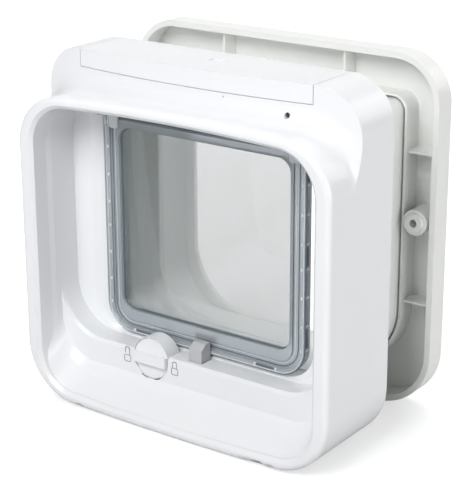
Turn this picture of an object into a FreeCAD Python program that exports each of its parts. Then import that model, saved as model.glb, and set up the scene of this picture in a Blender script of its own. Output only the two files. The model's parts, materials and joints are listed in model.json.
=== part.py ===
import FreeCAD, Part
import math
import os
import re
import Sketcher

# Two-way cat flap for a door. The inside unit is a deep hooded housing with a
# battery hump on top, the tunnel runs back through the door, and the outside
# frame is pushed on the tunnel's end.
# X is to the right, Y is away from the room, Z is up. The origin is at the
# bottom centre of the whole. Depths are counted from the hood's front rim.

doc = FreeCAD.newDocument("CatFlap")
sheet = doc.addObject("Spreadsheet::Sheet", "Sizes")

# Driving sizes, in millimetres
DRIVING = {
    # Inside unit
    "unit_width": 210,
    "unit_height": 209.5,
    "unit_depth": 62,
    "wall": 2.8,
    "door_space": 48,
    "hood_top_bow": 4,
    "hood_low_bow": 3,
    "hood_top_corner": 29,
    "hood_low_corner": 34,
    "hood_edge": 3.2,
    # Battery hump: rise above the hood, thickness at the middle, and bow of its front
    "hump_rise": 22,
    "hump_thick": 42,
    "hump_bow": 10,
    "hump_corner": 26,
    "hump_blend": 11,
    # Recess that leads in to the flap
    "rim_side": 10,
    "rim_top": 5.5,
    "rim_low": 6.5,
    "mouth_corner": 24,
    "mouth_edge": 2,
    "fascia_depth": 20,
    "fascia_foot": 20.5,
    "ledge_height": 38,
    "ledge_edge": 1.8,
    "knee_drop": 2.2,
    "knee_depth": 4,
    "recess_taper": 0.8,
    "face_depth": 35,
    "well_corner": 30,
    # Opening in the face, and its collar
    "pass_side": 32.5,
    "pass_low": 39.4,
    "pass_drop": 7.5,
    "pass_corner": 17,
    "bevel": 2.2,
    "bevel_side": 8,
    "bevel_rise": 1,
    "collar_depth": 12,
    # Tunnel: how far the duct and the liner stand outside the opening
    "duct_side": 9.5,
    "duct_low": 24,
    "duct_rise": 5,
    "duct_low_corner": 36.5,
    "duct_high_corner": 7,
    "duct_wall": 2,
    "flange_rim": 3,
    "flange_plate": 2,
    "liner_side": 2.5,
    "liner_step": 1,
    "liner_drop": 0.4,
    "liner_corner": 14,
    "liner_wall": 1.8,
    "liner_end": 95,
    # Outside frame
    "frame_depth": 17,
    "frame_lift": 1.5,
    "frame_over": 0.5,
    "frame_top_corner": 28,
    "frame_low_corner": 35,
    "frame_wall": 3.6,
    "frame_plate": 3,
    "frame_edge": 3,
    "sleeve_gap": 1.2,
    "sleeve_wall": 1.4,
    "sleeve_setback": 1,
    "gate_lip": 1.7,
    "gate_low": 26.5,
    "gate_drop": 3,
    "gate_low_corner": 42,
    "gate_high_corner": 8,
    "rib_wall": 1.4,
    "rib_setback": 3,
    "rib_drop": 29.5,
    "rib_low_height": 66.3,
    "rib_side": 42,
    "boss_setin": 12.5,
    "boss_rise": 9.5,
    "boss_width": 15,
    "boss_ring": 11,
    "boss_hole": 4.6,
    "boss_reach": 0.6,
    "ring_reach": 2.6,
    # Flap
    "flap_side": 4,
    "flap_sill": 1.6,
    "flap_thick": 6,
    "flap_depth": 34,
    "flap_corner": 16.5,
    "flap_top_corner": 3,
    "flap_over_hinge": 3.6,
    "hinge_drop": 9,
    "hinge_pin": 4,
    "hinge_play": 0.05,
    "border_side": 9.5,
    "border_low": 14,
    "pane_drop": 6,
    "pane_corner": 8,
    "pane_thick": 2,
    "pane_setback": 2.4,
    "groove_setin": 3,
    "groove_width": 4.6,
    "groove_deep": 1.2,
    "magnet_length": 14,
    "magnet_thick": 3,
    # Battery box and its cover
    "cover_side": 27,
    "cover_drop": 10.5,
    "cover_gap": 0.3,
    "notch_side": 5,
    "notch_width": 11,
    "notch_depth": 27,
    "notch_reach": 6,
    "notch_deep": 0.8,
    "cell_width": 14.2,
    "cell_length": 50,
    "cell_nub": 5.2,
    "nub_length": 1,
    "contact_space": 3,
    "tray_wall": 1.4,
    "tray_divider": 2,
    "leaf_thick": 0.6,
    # Latches and their solenoids
    "latch_side": 1.2,
    "latch_width": 8.8,
    "latch_depth": 25,
    "latch_thick": 8.5,
    "latch_rise": 45.5,
    "latch_slope": 3,
    "latch_foot": 35.4,
    "latch_travel": 9.5,
    "latch_play": 0.5,
    "catch_thick": 3.2,
    "catch_back": 0.8,
    "stem_width": 3.6,
    "core_width": 6,
    "core_length": 15,
    "core_play": 0.15,
    "solenoid_width": 16,
    "solenoid_thick": 11.6,
    # Rotary lock
    "knob_side": -27.2,
    "knob_height": 34.8,
    "knob_width": 24.4,
    "knob_thick": 3,
    "knob_inset": 0.6,
    "knob_play": 0.5,
    "bar_length": 23.6,
    "bar_width": 6.4,
    "bar_reach": 3,
    "dome_back": 3,
    "dome_wall": 2,
    "shaft_width": 6,
    "cam_width": 14,
    "cam_thick": 2.4,
    # Electronics
    "board_gap": 1.6,
    "board_side": 7,
    "board_thick": 1.6,
    "chip_length": 7,
    "chip_width": 5.5,
    "chip_inset": 12,
    "relay_length": 6,
    "relay_width": 8,
    "relay_height": 5,
    "relay_inset": 2,
    "lamp_inset": 4,
    "lamp_drop": 17.5,
    "lamp_width": 3,
    "lamp_seat": 3,
    "lens_thick": 2.2,
    "button_width": 5,
    "button_inset": 10,
    "button_wall": 1,
    "button_base": 4,
    "button_reach": 6,
    "button_travel": 1,
    "coil_thick": 1.2,
    "coil_width": 8,
    # Screws
    "screw_width": 3,
    "screw_head": 5.6,
    "screw_length": 10,
    "screw_sink": 1.6,
    "pillar_width": 7,
    "pillar_setin": 16,
    "pillar_drop": 35.5,
    "pillar_low_side": 60,
    "pillar_low": 9,
    # Clearance between pieces that fit together
    "fit_gap": 0.3,
    # How far a cutting tool reaches past what it cuts: a little, or clear of the whole
    "over": 1,
    "margin": 30,
}

# Sizes worked out from the driving ones
DERIVED = {
    "front_y": "-(unit_depth + door_space + frame_depth) / 2",
    "half_width": "unit_width / 2",
    "hood_height": "unit_height - hump_rise",
    "hump_depth": "unit_depth - hump_thick",
    "frame_height": "unit_height + frame_over",
    "frame_front": "unit_depth + door_space",
    "frame_back": "unit_depth + door_space + frame_depth",
    "frame_top": "frame_lift + frame_height",
    "hood_top_radius": "(half_width ^ 2 + hood_top_bow ^ 2) / (2 * hood_top_bow)",
    "hood_low_radius": "(half_width ^ 2 + hood_low_bow ^ 2) / (2 * hood_low_bow)",
    "hump_radius": "(half_width ^ 2 + hump_bow ^ 2) / (2 * hump_bow)",
    "mouth_half": "half_width - rim_side",
    "mouth_high": "hood_height - rim_top",
    "mouth_top_radius": "hood_top_radius - rim_top",
    "mouth_low_radius": "hood_low_radius - rim_low",
    "hood_base": "0",
    "inner_half": "half_width - wall",
    "inner_low": "hood_low_bow + wall",
    "inner_high": "unit_height - wall",
    "inner_back": "unit_depth + over",
    "margin_half": "half_width + margin",
    "margin_back": "unit_depth + margin",
    "region_front": "hump_depth",
    "region_radius": "hump_radius",
    "room_front": "hump_depth + wall",
    "room_radius": "hump_radius - wall",
    "recess_half": "mouth_half - recess_taper",
    "recess_high": "mouth_high - recess_taper",
    "skin_half": "mouth_half + wall",
    "skin_high": "mouth_high + wall",
    "pass_half": "half_width - pass_side",
    "pass_high": "hood_height - pass_drop",
    "collar_end": "face_depth + collar_depth",
    "plate_depth": "unit_depth - wall",
    "duct_half": "pass_half + duct_side",
    "duct_high": "pass_high + duct_rise",
    "liner_half": "pass_half + liner_side",
    "liner_low": "pass_low + liner_step",
    "liner_high": "pass_high - liner_drop",
    "duct_start": "plate_depth - fit_gap - flange_plate",
    "liner_start": "collar_end + fit_gap",
    "sleeve_half": "duct_half + sleeve_gap",
    "gate_half": "liner_half - gate_lip",
    "gate_high": "duct_high - gate_drop",
    "rib_top_height": "duct_high - rib_drop",
    "boss_side": "half_width - boss_setin",
    "boss_height": "frame_lift + frame_height / 2 + boss_rise",
    "plate_face": "frame_back - frame_plate",
    "duct_end": "plate_face - fit_gap",
    "hinge_height": "pass_high - hinge_drop",
    "flap_half": "pass_half - flap_side",
    "flap_low": "pass_low + flap_sill",
    "flap_high": "hinge_height + flap_over_hinge",
    "flap_back": "flap_depth + flap_thick",
    "hinge_depth": "flap_depth + flap_thick / 2",
    "pane_half": "flap_half - border_side",
    "pane_low": "flap_low + border_low",
    "pane_high": "hinge_height - pane_drop",
    "pane_depth": "flap_depth + pane_setback",
    "cover_half": "half_width - cover_side",
    "cover_seam": "unit_height - cover_drop",
    "tray_floor": "mouth_high + wall + fit_gap",
    "tray_half": "tray_divider / 2 + contact_space * 2 + cell_length + tray_wall",
    "tray_depth": "plate_depth - fit_gap - 2 * tray_wall - 2 * cell_width - 2 * fit_gap",
    "cell_height": "tray_floor + tray_wall + cell_width / 2 + fit_gap / 2",
    "solenoid_height": "duct_low - flange_rim - fit_gap - inner_low",
    "catch_depth": "flap_back + catch_back",
    "inside_core_depth": "latch_depth + latch_thick / 2",
    "outside_core_depth": "catch_depth + catch_thick / 2",
    "knob_front": "fascia_depth + knob_inset",
    "knob_back": "knob_front + knob_thick",
    "pillar_start": "face_depth + wall / 2",
    "pillar_side": "half_width - pillar_setin",
    "pillar_top": "hood_height - pillar_drop",
    "board_start": "tray_half + board_gap",
    "board_end": "half_width - board_side",
    "board_length": "board_end - board_start",
    "board_depth": "hump_depth + hump_bow + wall + fit_gap",
    "board_width": "plate_depth - fit_gap - board_depth",
    "lamp_side": "board_start + lamp_inset",
    "lamp_height": "unit_height - lamp_drop",
    "board_height": "lamp_height - lamp_width / 2 - board_thick",
    "lamp_face": "hump_depth + lamp_side ^ 2 / (2 * hump_radius) + fit_gap / 3",
    "button_side": "board_start + button_inset",
    "button_depth": "board_depth + board_width / 2",
    "button_low": "board_height + board_thick + button_wall",
    "catch_top": "pass_low - fit_gap",
    "cam_start": "knob_back + fit_gap + dome_wall + fit_gap",
}

ALIASES = {}
for row, (name, number) in enumerate(DRIVING.items(), start=1):
    sheet.set(f"A{row}", name)
    sheet.set(f"B{row}", str(number))
    sheet.setAlias(f"B{row}", name)
    ALIASES[name] = f"Sizes.{name}"
for row, (name, formula) in enumerate(DERIVED.items(), start=len(DRIVING) + 1):
    sheet.set(f"A{row}", name)
    sheet.set(f"B{row}", "=" + formula)
    sheet.setAlias(f"B{row}", name)
    ALIASES[name] = f"Sizes.{name}"
doc.recompute()


def formula(text):
    """An expression for FreeCAD, with each named size looked up in the sheet."""
    return re.sub(r"[a-z_]+", lambda word: ALIASES.get(word.group(), word.group()), str(text))


workings = doc.addObject("Spreadsheet::Sheet", "Workings")


def size(text):
    """The value of a named size or a formula, in millimetres, worked out in a spare cell."""
    workings.set("A1", f"={formula(text)}")
    workings.recompute()
    return float(workings.get("A1"))


def bind(item, **properties):
    """Tie properties of an object to formulas. A double underscore stands for a dot."""
    for name, text in properties.items():
        item.setExpression(name.replace("__", "."), formula(text))
    return item


def origin_plane(body, role):
    """One of the body's own origin planes."""
    return next(item for item in body.Origin.OriginFeatures if item.Role == role)


def new_body(name):
    """A body whose depths start at the hood's front rim."""
    body = doc.addObject("PartDesign::Body", name)
    bind(body, Placement__Base__y="front_y")
    return body


def front_sketch(body, name, depth):
    """A sketch in the X-Z plane, at a depth behind the front rim."""
    sketch = body.newObject("Sketcher::SketchObject", name)
    sketch.AttachmentSupport = [(origin_plane(body, "XZ_Plane"), "")]
    sketch.MapMode = "FlatFace"
    bind(sketch, AttachmentOffset__Base__z=f"-({depth})")
    return sketch


def constrain(sketch, kind, first, first_point, second, second_point, text):
    """A distance between two sketch points, tied to a formula."""
    index = sketch.addConstraint(
        Sketcher.Constraint(kind, first, first_point, second, second_point, size(text)))
    sketch.setExpression(f"Constraints[{index}]", formula(text))


def rounded_rectangle(sketch, half, low, high, low_radius, high_radius):
    """A rectangle centred on X = 0 with rounded corners, drawn anticlockwise from its low edge."""
    side, base, top = size(half), size(low), size(high)
    low_turn, high_turn = size(low_radius), size(high_radius)
    lines = (
        ((low_turn - side, base), (side - low_turn, base)),
        ((side, base + low_turn), (side, top - high_turn)),
        ((side - high_turn, top), (high_turn - side, top)),
        ((-side, top - high_turn), (-side, base + low_turn)),
    )
    for start, end in lines:
        sketch.addGeometry(Part.LineSegment(
            FreeCAD.Vector(*start, 0), FreeCAD.Vector(*end, 0)))
    corners = (
        (side - low_turn, base + low_turn, low_turn),
        (side - high_turn, top - high_turn, high_turn),
        (high_turn - side, top - high_turn, high_turn),
        (low_turn - side, base + low_turn, low_turn),
    )
    for quarter, (across, up, radius) in enumerate(corners, start=-1):
        circle = Part.Circle(FreeCAD.Vector(across, up, 0), FreeCAD.Vector(0, 0, 1), radius)
        start_angle = quarter * math.pi / 2
        sketch.addGeometry(Part.ArcOfCircle(circle, start_angle, start_angle + math.pi / 2))
    for line in range(4):
        arc = line + 4
        sketch.addConstraint(Sketcher.Constraint("Tangent", line, 2, arc, 1))
        sketch.addConstraint(Sketcher.Constraint("Tangent", arc, 2, (line + 1) % 4, 1))
        sketch.addConstraint(Sketcher.Constraint("Horizontal" if line % 2 == 0 else "Vertical", line))
    constrain(sketch, "DistanceX", -1, 1, 1, 1, half)
    constrain(sketch, "DistanceX", -1, 1, 3, 1, f"-({half})")
    constrain(sketch, "DistanceY", -1, 1, 0, 1, low)
    constrain(sketch, "DistanceY", -1, 1, 2, 1, high)
    for arc, radius in ((4, low_radius), (5, high_radius), (6, high_radius), (7, low_radius)):
        index = sketch.addConstraint(Sketcher.Constraint("Radius", arc, size(radius)))
        sketch.setExpression(f"Constraints[{index}]", formula(radius))


def bowed_rectangle(sketch, half, top, top_radius, low, low_radius):
    """A rectangle with straight sides whose top and bottom are shallow outward arcs."""
    across = size(half)
    arcs = (
        (size(low) + size(low_radius), size(low_radius), 1.5 * math.pi),
        (size(top) - size(top_radius), size(top_radius), 0.5 * math.pi),
    )
    ends = []
    for centre, radius, middle in arcs:
        spread = math.asin(across / radius)
        circle = Part.Circle(FreeCAD.Vector(0, centre, 0), FreeCAD.Vector(0, 0, 1), radius)
        arc = Part.ArcOfCircle(circle, middle - spread, middle + spread)
        sketch.addGeometry(arc)
        ends.append((arc.StartPoint, arc.EndPoint))
    (low_left, low_right), (top_right, top_left) = ends
    sketch.addGeometry(Part.LineSegment(low_right, top_right))
    sketch.addGeometry(Part.LineSegment(top_left, low_left))
    for first, first_point, second, second_point in ((0, 2, 2, 1), (2, 2, 1, 1), (1, 2, 3, 1), (3, 2, 0, 1)):
        sketch.addConstraint(Sketcher.Constraint("Coincident", first, first_point, second, second_point))
    for arc in (0, 1):
        sketch.addConstraint(Sketcher.Constraint("PointOnObject", arc, 3, -2))
    for line in (2, 3):
        sketch.addConstraint(Sketcher.Constraint("Vertical", line))
    constrain(sketch, "DistanceX", -1, 1, 2, 1, half)
    constrain(sketch, "DistanceX", -1, 1, 3, 1, f"-{half}")
    constrain(sketch, "DistanceY", -1, 1, 0, 3, f"{low} + {low_radius}")
    constrain(sketch, "DistanceY", -1, 1, 1, 3, f"{top} - {top_radius}")
    for arc, radius in ((0, low_radius), (1, top_radius)):
        index = sketch.addConstraint(Sketcher.Constraint("Radius", arc, size(radius)))
        sketch.setExpression(f"Constraints[{index}]", formula(radius))


def pad(body, sketch, length):
    """Material from a sketch towards the back."""
    feature = body.newObject("PartDesign::Pad", sketch.Name + "_pad")
    feature.Profile = sketch
    feature.Reversed = True
    bind(feature, Length=length)
    doc.recompute()
    return feature


# How closely an edge has to lie where a test looks for it
EDGE_TOLERANCE = 0.05


def edge_names(shape, wanted):
    """Names of the edges that a test picks."""
    return [f"Edge{number}" for number, edge in enumerate(shape.Edges, start=1) if wanted(edge)]


def runs_back(edge, shape):
    """True for an edge that runs from the shape's front to its back."""
    return edge.BoundBox.YLength > 0.9 * shape.BoundBox.YLength


def round_off(body, feature, wanted, radius):
    """A fillet on the edges that a test picks, with its radius tied to the sheet."""
    names = edge_names(feature.Shape, wanted)
    fillet = body.newObject("PartDesign::Fillet", body.Name + "_round")
    fillet.Base = (feature, names)
    bind(fillet, Radius=radius)
    doc.recompute()
    return fillet


def bevel_off(body, feature, wanted, width):
    """A chamfer on the edges that a test picks, with its width tied to the sheet."""
    names = edge_names(feature.Shape, wanted)
    chamfer = body.newObject("PartDesign::Chamfer", body.Name + "_bevel")
    chamfer.Base = (feature, names)
    bind(chamfer, Size=width)
    doc.recompute()
    return chamfer


def round_corners(body, feature, low_radius, high_radius):
    """Round the four edges that run back: the low pair and the high pair."""
    middle = feature.Shape.BoundBox.Center.z

    def low(edge):
        return runs_back(edge, feature.Shape) and edge.BoundBox.Center.z < middle

    def high(edge):
        return runs_back(edge, feature.Shape) and edge.BoundBox.Center.z > middle

    low_rounded = round_off(body, feature, low, low_radius)
    return round_off(body, low_rounded, high, high_radius)


def prism(name, half, low, high, start, end, low_radius, high_radius):
    """A straight bar with rounded corners that runs back, centred on X = 0."""
    body = new_body(name)
    sketch = front_sketch(body, name + "_outline", start)
    rounded_rectangle(sketch, half, low, high, low_radius, high_radius)
    pad(body, sketch, f"{end} - ({start})")
    return body


def taper(name, front, back, start, end):
    """A bar that runs back from one outline to another.

    An outline is its half width, low edge, high edge, low radius and high radius.
    """
    body = new_body(name)
    sketches = []
    for label, depth, outline in (("front", start, front), ("back", end, back)):
        sketch = front_sketch(body, f"{name}_{label}", depth)
        rounded_rectangle(sketch, *outline)
        sketches.append(sketch)
    loft = body.newObject("PartDesign::AdditiveLoft", name + "_loft")
    loft.Profile = sketches[0]
    loft.Sections = sketches[1:]
    loft.Ruled = True
    doc.recompute()
    return body


def block(name, x, y, z):
    """A box between pairs of formulas along X, Y (as depth) and Z."""
    box = doc.addObject("Part::Box", name)
    return bind(
        box,
        Length=f"({x[1]}) - ({x[0]})",
        Width=f"({y[1]}) - ({y[0]})",
        Height=f"({z[1]}) - ({z[0]})",
        Placement__Base__x=x[0],
        Placement__Base__y=f"front_y + {y[0]}",
        Placement__Base__z=z[0],
    )


TURNS = {
    "X": FreeCAD.Rotation(FreeCAD.Vector(0, 1, 0), 90),
    "Y": FreeCAD.Rotation(FreeCAD.Vector(1, 0, 0), -90),
    "Z": FreeCAD.Rotation(),
}


def rod(name, axis, radius, start, end, x="0", y="0", z="0"):
    """A round bar along one axis between two formulas. Depths are counted from the rim."""
    bar = doc.addObject("Part::Cylinder", name)
    bar.Placement = FreeCAD.Placement(FreeCAD.Vector(), TURNS[axis])
    place = {"X": x, "Y": y, "Z": z}
    place[axis] = start
    return bind(
        bar,
        Radius=radius,
        Height=f"({end}) - ({start})",
        Placement__Base__x=place["X"],
        Placement__Base__y=f"front_y + {place['Y']}",
        Placement__Base__z=place["Z"],
    )


def fuse(name, *shapes):
    """Several shapes joined in one."""
    joined = doc.addObject("Part::MultiFuse", name)
    joined.Shapes = list(shapes)
    joined.Refine = True
    return joined


def cut(name, base, *tools):
    """A shape with others taken away."""
    tool = tools[0] if len(tools) == 1 else fuse(name + "_tools", *tools)
    result = doc.addObject("Part::Cut", name)
    result.Base = base
    result.Tool = tool
    result.Refine = True
    return result


def common(name, first, second):
    """What two shapes share."""
    result = doc.addObject("Part::MultiCommon", name)
    result.Shapes = [first, second]
    result.Refine = True
    return result


def group(name, *shapes):
    """Separate solids kept together in one node."""
    result = doc.addObject("Part::Compound", name)
    result.Links = list(shapes)
    return result


def soften(name, kind, base, wanted, width):
    """A fillet or a chamfer on the edges of a finished shape that a test picks."""
    doc.recompute()
    amount = size(width)
    numbers = [number for number, edge in enumerate(base.Shape.Edges, start=1) if wanted(edge)]
    result = doc.addObject(f"Part::{kind}", name)
    result.Base = base
    result.Edges = [(number, amount, amount) for number in numbers]
    doc.recompute()
    return result


def level(value, target):
    """True when two lengths agree to the tolerance of a modelled edge."""
    return abs(value - target) < EDGE_TOLERANCE


def at_depth(edge, depth):
    """True for an edge that lies in one plane at a depth behind the front rim."""
    box = edge.BoundBox
    target = size("front_y") + depth
    return level(box.YMin, target) and level(box.YMax, target)


# Front housing: outer form
# A bar with the full outline runs the whole depth. What stands above the hood
# and in front of the hump is cut off, and the foot of the hump keeps a hollow
# blend because the cutter's own edge is rounded.

HOOD = ("half_width", "hood_height", "hood_top_radius", "hood_base", "hood_low_radius")
RIM = ("mouth_half", "mouth_high", "mouth_top_radius", "rim_low", "mouth_low_radius")


def bowed_bar(name, outline, start, end, low_corner, high_corner, front_edge=None):
    """A bowed outline as a bar that runs back, with its corners and front edge rounded."""
    body = new_body(name)
    sketch = front_sketch(body, name + "_outline", start)
    bowed_rectangle(sketch, *outline)
    feature = pad(body, sketch, f"{end} - ({start})")
    feature = round_corners(body, feature, low_corner, high_corner)
    if front_edge:
        front = feature.Shape.BoundBox.YMin
        round_off(body, feature, lambda edge: edge.BoundBox.YMax < front + EDGE_TOLERANCE, front_edge)
    return body


def hump_region(name, front, radius):
    """Everything behind the hump's bowed front face, as a tall block."""
    body = new_body(name)
    sketch = body.newObject("Sketcher::SketchObject", name + "_plan")
    sketch.AttachmentSupport = [(origin_plane(body, "XY_Plane"), "")]
    sketch.MapMode = "FlatFace"
    bind(sketch, AttachmentOffset__Base__z="unit_height / 3")
    bowed_rectangle(sketch, "margin_half", "margin_back", radius, front, radius)
    feature = body.newObject("PartDesign::Pad", name + "_pad")
    feature.Profile = sketch
    bind(feature, Length="unit_height")
    doc.recompute()
    return body


behind_hump = hump_region("behind_hump", "region_front", "region_radius")
above_hood = block(
    "above_hood", ("-margin_half", "margin_half"), ("-margin", "unit_depth / 2 + hump_depth"),
    ("unit_height / 2", "unit_height + margin"))
hood_core = bowed_bar(
    "hood_core", HOOD, "-2 * margin", "unit_depth + 2 * margin", "hood_low_corner",
    "hood_top_corner")
cutter_sharp = cut("cutter_sharp", above_hood, behind_hump, hood_core)


def hump_foot(edge):
    """The chain where the hump's front meets the hood's skin."""
    front = size("front_y") + size("hump_depth")
    box = edge.BoundBox
    above = box.ZMin > size("unit_height") / 2 - EDGE_TOLERANCE
    under = box.ZMax < size("hood_height") + EDGE_TOLERANCE
    inside = max(abs(box.XMin), abs(box.XMax)) < size("half_width") + EDGE_TOLERANCE
    behind = box.YMin > front - EDGE_TOLERANCE
    return above and under and inside and behind


cutter = soften("hood_cutter", "Fillet", cutter_sharp, hump_foot, "hump_blend")

hump_bar = prism(
    "hump_bar", "half_width", "unit_height / 2", "unit_height", "hump_depth - hump_blend - over",
    "unit_depth", "wall", "hump_corner")
hood = bowed_bar(
    "hood", HOOD, "0", "unit_depth", "hood_low_corner", "hood_top_corner", "hood_edge")
outer_raw = fuse("outer_raw", hood, hump_bar)
outer_sharp = cut("outer_sharp", outer_raw, cutter)

# Front housing: recess, opening and hollow inside
MOUTH = (
    "mouth_half + mouth_edge + over", "rim_low - 2 * mouth_edge", "mouth_high + mouth_edge + over",
    "well_corner", "mouth_corner - 2 * mouth_edge")
KNEE = (
    "recess_half", "fascia_foot - knee_drop", "recess_high", "mouth_corner", "mouth_corner")
FOOT = ("recess_half", "fascia_foot + knee_drop", "recess_high", "mouth_corner", "mouth_corner")
LEDGE_EDGE = ("recess_half", "ledge_height - ledge_edge", "recess_high", "well_corner", "mouth_corner")
LEDGE = ("recess_half", "ledge_height", "recess_high", "well_corner", "mouth_corner")
BEVEL = (
    "pass_half + bevel_side", "pass_low - bevel_rise", "pass_high", "pass_corner + bevel_side / 2",
    "bevel")
PASS = ("pass_half", "pass_low", "pass_high", "pass_corner", "bevel")

mouth_ramp = taper("mouth_ramp", MOUTH, KNEE, "-mouth_edge", "fascia_depth - knee_depth")
mouth_knee = taper("mouth_knee", KNEE, FOOT, "fascia_depth - knee_depth", "fascia_depth")
mouth_bar = bowed_bar("mouth_bar", RIM, "0", "fascia_depth", "mouth_corner", "mouth_corner")
mouth_plate = block(
    "mouth_plate", ("-margin_half", "margin_half"), ("-2 * mouth_edge", "0"),
    ("-rim_low", "unit_height"))


def mouth_outline(edge):
    """The recess's own outline in the plane of the front rim."""
    box = edge.BoundBox
    inside = max(abs(box.XMin), abs(box.XMax)) < size("mouth_half") + EDGE_TOLERANCE
    return at_depth(edge, 0) and inside


# The plate in front gives the tool a flared lip, which bevels the rim
mouth_flare = soften(
    "mouth_flare", "Chamfer", fuse("mouth_sharp", mouth_plate, mouth_bar), mouth_outline,
    "mouth_edge")
mouth = common("mouth", fuse("mouth_floor", mouth_ramp, mouth_knee), mouth_flare)
well_lip = taper(
    "well_lip", LEDGE_EDGE, LEDGE, "fascia_depth", "fascia_depth + ledge_edge")
well = prism(
    "well", "recess_half", "ledge_height", "recess_high", "fascia_depth + ledge_edge",
    "face_depth", "well_corner", "mouth_corner")
bevel = taper("bevel", BEVEL, PASS, "face_depth", "face_depth + bevel")
passage = prism(
    "passage", "pass_half", "pass_low", "pass_high", "face_depth", "collar_end",
    "pass_corner", "bevel")
fascia_skin = prism(
    "fascia_skin", "skin_half", "rim_low - wall", "skin_high", "0", "fascia_depth + wall",
    "mouth_corner", "mouth_corner")
well_skin = prism(
    "well_skin", "skin_half", "ledge_height - wall", "skin_high", "fascia_depth",
    "face_depth + wall", "well_corner", "mouth_corner")
collar_skin = prism(
    "collar_skin", "pass_half + wall", "pass_low - wall", "pass_high + wall",
    "face_depth", "collar_end", "pass_corner + wall", "bevel + wall")
recess_skin = fuse("recess_skin", fascia_skin, well_skin, collar_skin)

behind_front_wall = hump_region("behind_front_wall", "room_front", "room_radius")
core_bar = prism(
    "core_bar", "inner_half", "inner_low", "inner_high", "0", "inner_back",
    "hood_low_corner - wall", "hump_corner - wall")
core_low = prism(
    "core_low", "inner_half", "inner_low", "recess_high", "wall + rim_low", "inner_back",
    "hood_low_corner - wall", "mouth_corner")
core_high = common("core_high", core_bar, behind_front_wall)
core = cut("core", fuse("core_both", core_low, core_high), recess_skin)

cover_opening = block(
    "cover_opening", ("-cover_half", "cover_half"), ("-margin", "plate_depth"),
    ("cover_seam", "unit_height + margin"))

# Rotary lock: pocket for the knob in the fascia, and the dome behind it
dome = rod(
    "dome", "Y", "knob_width / 2 + knob_play", "fascia_depth", "flap_depth - dome_back",
    x="knob_side", z="knob_height")
knob_pocket = rod(
    "knob_pocket", "Y", "knob_width / 2 + knob_play / 2", "fascia_depth - over",
    "knob_back + fit_gap", x="knob_side", z="knob_height")
shaft_hole = rod(
    "shaft_hole", "Y", "shaft_width / 2 + hinge_play", "fascia_depth", "face_depth",
    x="knob_side", z="knob_height")
cam_room = rod(
    "cam_room", "Y", "knob_width / 2 - dome_wall", "knob_back + fit_gap + dome_wall",
    "flap_depth - dome_back - dome_wall", x="knob_side", z="knob_height")

# Slots that let the latches rise through the ledge and the opening's sill
latch_slot = block(
    "latch_slot",
    ("latch_side - latch_width / 2 - latch_play", "latch_side + latch_width / 2 + latch_play"),
    ("latch_depth - latch_play", "latch_depth + latch_thick + latch_play"),
    ("ledge_height - 2 * wall", "ledge_height + 2 * wall"))
catch_slot = block(
    "catch_slot",
    ("latch_side - latch_width / 2 - latch_play", "latch_side + latch_width / 2 + latch_play"),
    ("catch_depth - latch_play / 2", "catch_depth + catch_thick + latch_play / 2"),
    ("pass_low - 2 * wall", "pass_low + wall"))

hinge_bore = rod(
    "hinge_bore", "X", "hinge_pin / 2 + hinge_play", "-pass_half - wall - over",
    "pass_half + wall + over", y="hinge_depth", z="hinge_height")
lamp_hole = rod(
    "lamp_hole", "Y", "lamp_width / 2 + hinge_play", "hump_depth - over",
    "hump_depth + hump_bow + wall", x="lamp_side", z="lamp_height")

# Pillars for the rear cover's screws, and sockets for the long fixing screws
SCREWS = (
    ("right_top", "pillar_side", "pillar_top"),
    ("left_top", "-pillar_side", "pillar_top"),
    ("right_low", "pillar_low_side", "pillar_low"),
    ("left_low", "-pillar_low_side", "pillar_low"),
)
pillars = []
pilots = []
for label, side, height in SCREWS:
    pillars.append(rod(
        f"pillar_{label}", "Y", "pillar_width / 2", "pillar_start", "plate_depth",
        x=side, z=height))
    pilots.append(rod(
        f"pilot_{label}", "Y", "screw_width / 2", "unit_depth - screw_length",
        "plate_depth + over", x=side, z=height))
for label, side in (("right", "boss_side"), ("left", "-boss_side")):
    pillars.append(rod(
        f"socket_{label}", "Y", "boss_ring / 2", "face_depth + wall / 2", "plate_depth",
        x=side, z="boss_height"))
    pilots.append(rod(
        f"socket_bore_{label}", "Y", "boss_hole / 2 - fit_gap", "face_depth + 2 * wall",
        "plate_depth + over", x=side, z="boss_height"))

hollowed = cut(
    "hollowed", outer_sharp, mouth, well_lip, well, bevel, passage, core, cover_opening)
furnished = fuse("furnished", hollowed, dome, *pillars)
front_housing = cut(
    "front_housing", furnished, knob_pocket, shaft_hole, cam_room, latch_slot, catch_slot,
    hinge_bore, lamp_hole, *pilots)


# Battery cover: the top of the hump with a lip down its front
cover_space = block(
    "cover_space", ("-cover_half + cover_gap", "cover_half - cover_gap"),
    ("-margin", "plate_depth - cover_gap"), ("cover_seam + cover_gap", "unit_height + margin"))
cover_solid = common("cover_solid", outer_sharp, cover_space)
finger_notch = block(
    "finger_notch", ("notch_side - notch_width / 2", "notch_side + notch_width / 2"),
    ("hump_depth + notch_depth - notch_reach", "hump_depth + notch_depth"),
    ("unit_height - notch_deep", "unit_height + over"))
battery_cover = cut("battery_cover", cover_solid, core_high, finger_notch)

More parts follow.
